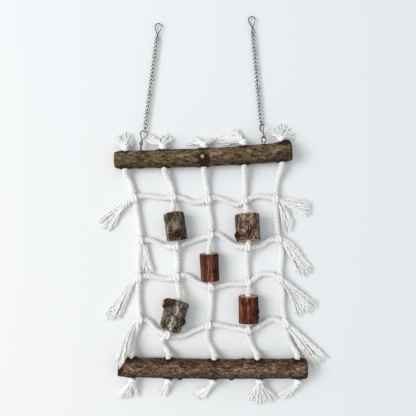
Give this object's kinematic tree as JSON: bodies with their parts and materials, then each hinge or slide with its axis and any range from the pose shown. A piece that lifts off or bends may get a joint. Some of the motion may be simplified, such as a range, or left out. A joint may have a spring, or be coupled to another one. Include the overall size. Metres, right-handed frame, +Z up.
{
  "type": "reptile climbing net",
  "caption": "Hanging rope ladder net between two bark branches, with drilled branch beads, frayed rope ends and snap-hook chains, for small climbing reptiles.",
  "frame": {"origin": "middle of the footprint, on the surface that the net lies on", "axes": "+X along the bars to the right, +Y up the net towards the hanging hooks, +Z up from the ground"},
  "size_m": [0.308, 0.5211, 0.0319],
  "materials": {
    "top_bar_bark": "rough natural bark",
    "bottom_bar_bark": "rough natural bark",
    "bead_1_bark": "rough natural bark",
    "bead_2_bark": "rough natural bark",
    "bead_3_bark": "rough natural bark",
    "bead_4_bark": "rough natural bark",
    "bead_5_bark": "rough natural bark",
    "cotton": "twisted undyed rope",
    "steel": "bright plated wire"
  },
  "bodies": {
    "upper_net": {"cross_rope_1": "cotton", "cross_rope_1_left_end": "cotton", "cross_rope_1_right_end": "cotton", "cross_rope_2": "cotton", "cross_rope_2_left_end": "cotton", "cross_rope_2_right_end": "cotton", "screw_eye_left": "steel", "screw_eye_right": "steel", "top_bar": "top_bar_bark", "upright_rope_1_fold": "cotton", "upright_rope_1_upper": "cotton", "upright_rope_2_fold": "cotton", "upright_rope_2_upper": "cotton", "upright_rope_3_fold": "cotton", "upright_rope_3_upper": "cotton", "upright_rope_4_fold": "cotton", "upright_rope_4_upper": "cotton", "upright_rope_5_fold": "cotton", "upright_rope_5_upper": "cotton"},
    "lower_net": {"bottom_bar": "bottom_bar_bark", "cross_rope_3": "cotton", "cross_rope_3_left_end": "cotton", "cross_rope_3_right_end": "cotton", "cross_rope_4": "cotton", "cross_rope_4_left_end": "cotton", "cross_rope_4_right_end": "cotton", "upright_rope_1_lower": "cotton", "upright_rope_2_lower": "cotton", "upright_rope_3_lower": "cotton", "upright_rope_4_lower": "cotton", "upright_rope_5_lower": "cotton"},
    "bead_1": {"bead_1": "bead_1_bark"},
    "bead_2": {"bead_2": "bead_2_bark"},
    "bead_3": {"bead_3": "bead_3_bark"},
    "bead_4": {"bead_4": "bead_4_bark"},
    "bead_5": {"bead_5": "bead_5_bark"},
    "chain_left_1": {"chain_left_1": "steel"},
    "chain_left_2": {"chain_left_2": "steel"},
    "chain_left_3": {"chain_left_3": "steel"},
    "chain_left_4": {"chain_left_4": "steel"},
    "chain_left_5": {"chain_left_5": "steel"},
    "chain_right_1": {"chain_right_1": "steel"},
    "chain_right_2": {"chain_right_2": "steel"},
    "chain_right_3": {"chain_right_3": "steel"},
    "chain_right_4": {"chain_right_4": "steel"},
    "chain_right_5": {"chain_right_5": "steel"},
    "lower_hook_left": {"lower_hook_left": "steel"},
    "lower_hook_left_gate": {"lower_hook_left_gate": "steel"},
    "lower_hook_right": {"lower_hook_right": "steel"},
    "lower_hook_right_gate": {"lower_hook_right_gate": "steel"},
    "upper_hook_left": {"upper_hook_left": "steel"},
    "upper_hook_left_gate": {"upper_hook_left_gate": "steel"},
    "upper_hook_right": {"upper_hook_right": "steel"},
    "upper_hook_right_gate": {"upper_hook_right_gate": "steel"}
  },
  "joints": [
    {"name": "net_fold", "type": "hinge", "parent": "upper_net", "child": "lower_net", "pos_m": [0, -0.0585, 0.01], "axis": [-1, 0, 0], "range_deg": [0, 90], "deforming": ["upright_rope_1_fold", "upright_rope_2_fold", "upright_rope_3_fold", "upright_rope_4_fold", "upright_rope_5_fold"]},
    {"name": "bead_1_spin", "type": "hinge", "parent": "upper_net", "child": "bead_1", "pos_m": [-0.04785, -0.02155, 0.0135], "axis": [-0.1446, 0.9895, 0], "continuous": true},
    {"name": "bead_2_spin", "type": "hinge", "parent": "upper_net", "child": "bead_2", "pos_m": [0.0476, -0.02265, 0.0161], "axis": [-0.0633, 0.998, 0], "continuous": true},
    {"name": "bead_3_spin", "type": "hinge", "parent": "lower_net", "child": "bead_3", "pos_m": [-0.00265, -0.075, 0.0125], "axis": [-0.0477, 0.9989, 0], "continuous": true},
    {"name": "bead_4_spin", "type": "hinge", "parent": "lower_net", "child": "bead_4", "pos_m": [-0.0494, -0.1382, 0.0143], "axis": [0.2859, 0.9583, 0], "continuous": true},
    {"name": "bead_5_spin", "type": "hinge", "parent": "lower_net", "child": "bead_5", "pos_m": [0.049, -0.13145, 0.0133], "axis": [-0.0165, 0.9999, 0], "continuous": true},
    {"name": "lower_hook_left_swing", "type": "hinge", "parent": "upper_net", "child": "lower_hook_left", "pos_m": [-0.0937, 0.08495, 0.01071], "axis": [1, 0, 0], "range_deg": [0, 60]},
    {"name": "lower_hook_left_gate_press", "type": "hinge", "parent": "lower_hook_left", "child": "lower_hook_left_gate", "pos_m": [-0.09001, 0.09159, 0.00835], "axis": [0.0717, 0.2903, 0.9542], "range_deg": [0, 20], "stiffness_Nm_per_rad": 0.02, "springref_deg": -5.73},
    {"name": "chain_left_1_lift", "type": "hinge", "parent": "lower_hook_left", "child": "chain_left_1", "pos_m": [-0.08923, 0.10687, 0.00364], "axis": [0.9708, -0.2398, 0], "range_deg": [0, 45]},
    {"name": "chain_left_2_sway", "type": "hinge", "parent": "chain_left_1", "child": "chain_left_2", "pos_m": [-0.086, 0.13161, 0.00364], "axis": [0, 0, 1], "range_deg": [-35, 35]},
    {"name": "chain_left_3_lift", "type": "hinge", "parent": "chain_left_2", "child": "chain_left_3", "pos_m": [-0.08296, 0.15486, 0.00364], "axis": [0.9916, -0.1294, 0], "range_deg": [0, 30]},
    {"name": "chain_left_4_sway", "type": "hinge", "parent": "chain_left_3", "child": "chain_left_4", "pos_m": [-0.07952, 0.18129, 0.00364], "axis": [0, 0, 1], "range_deg": [-35, 35]},
    {"name": "chain_left_5_lift", "type": "hinge", "parent": "chain_left_4", "child": "chain_left_5", "pos_m": [-0.07648, 0.20454, 0.00364], "axis": [0.9916, -0.1294, 0], "range_deg": [0, 30]},
    {"name": "upper_hook_left_sway", "type": "hinge", "parent": "chain_left_5", "child": "upper_hook_left", "pos_m": [-0.07304, 0.23097, 0.00364], "axis": [0, 0, 1], "range_deg": [-40, 40]},
    {"name": "upper_hook_left_gate_press", "type": "hinge", "parent": "upper_hook_left", "child": "upper_hook_left_gate", "pos_m": [-0.06963, 0.23461, 0.00364], "axis": [0, 0, 1], "range_deg": [0, 20], "stiffness_Nm_per_rad": 0.02, "springref_deg": -5.73},
    {"name": "lower_hook_right_swing", "type": "hinge", "parent": "upper_net", "child": "lower_hook_right", "pos_m": [0.0692, 0.09403, 0.01219], "axis": [0.5736, 0, 0.8192], "range_deg": [0, 60]},
    {"name": "lower_hook_right_gate_press", "type": "hinge", "parent": "lower_hook_right", "child": "lower_hook_right_gate", "pos_m": [0.07052, 0.10267, 0.01244], "axis": [-0.848, 0.1009, 0.5203], "range_deg": [0, 20], "stiffness_Nm_per_rad": 0.02, "springref_deg": -5.73},
    {"name": "chain_right_1_lift", "type": "hinge", "parent": "lower_hook_right", "child": "chain_right_1", "pos_m": [0.06666, 0.11549, 0.00366], "axis": [0.5078, 0.4358, 0.7431], "range_deg": [0, 45]},
    {"name": "chain_right_2_sway", "type": "hinge", "parent": "chain_right_1", "child": "chain_right_2", "pos_m": [0.06441, 0.14033, 0.00366], "axis": [0, 0, 1], "range_deg": [-35, 35]},
    {"name": "chain_right_3_lift", "type": "hinge", "parent": "chain_right_2", "child": "chain_right_3", "pos_m": [0.0623, 0.16369, 0.00366], "axis": [0.9959, 0.0901, 0], "range_deg": [0, 30]},
    {"name": "chain_right_4_sway", "type": "hinge", "parent": "chain_right_3", "child": "chain_right_4", "pos_m": [0.05989, 0.19023, 0.00366], "axis": [0, 0, 1], "range_deg": [-35, 35]},
    {"name": "chain_right_5_lift", "type": "hinge", "parent": "chain_right_4", "child": "chain_right_5", "pos_m": [0.05778, 0.21358, 0.00366], "axis": [0.9959, 0.0901, 0], "range_deg": [0, 30]},
    {"name": "upper_hook_right_sway", "type": "hinge", "parent": "chain_right_5", "child": "upper_hook_right", "pos_m": [0.05538, 0.24013, 0.00366], "axis": [0, 0, 1], "range_deg": [-40, 40]},
    {"name": "upper_hook_right_gate_press", "type": "hinge", "parent": "upper_hook_right", "child": "upper_hook_right_gate", "pos_m": [0.0579, 0.24442, 0.00366], "axis": [0, 0, 1], "range_deg": [0, 20], "stiffness_Nm_per_rad": 0.02, "springref_deg": -5.73}
  ]
}
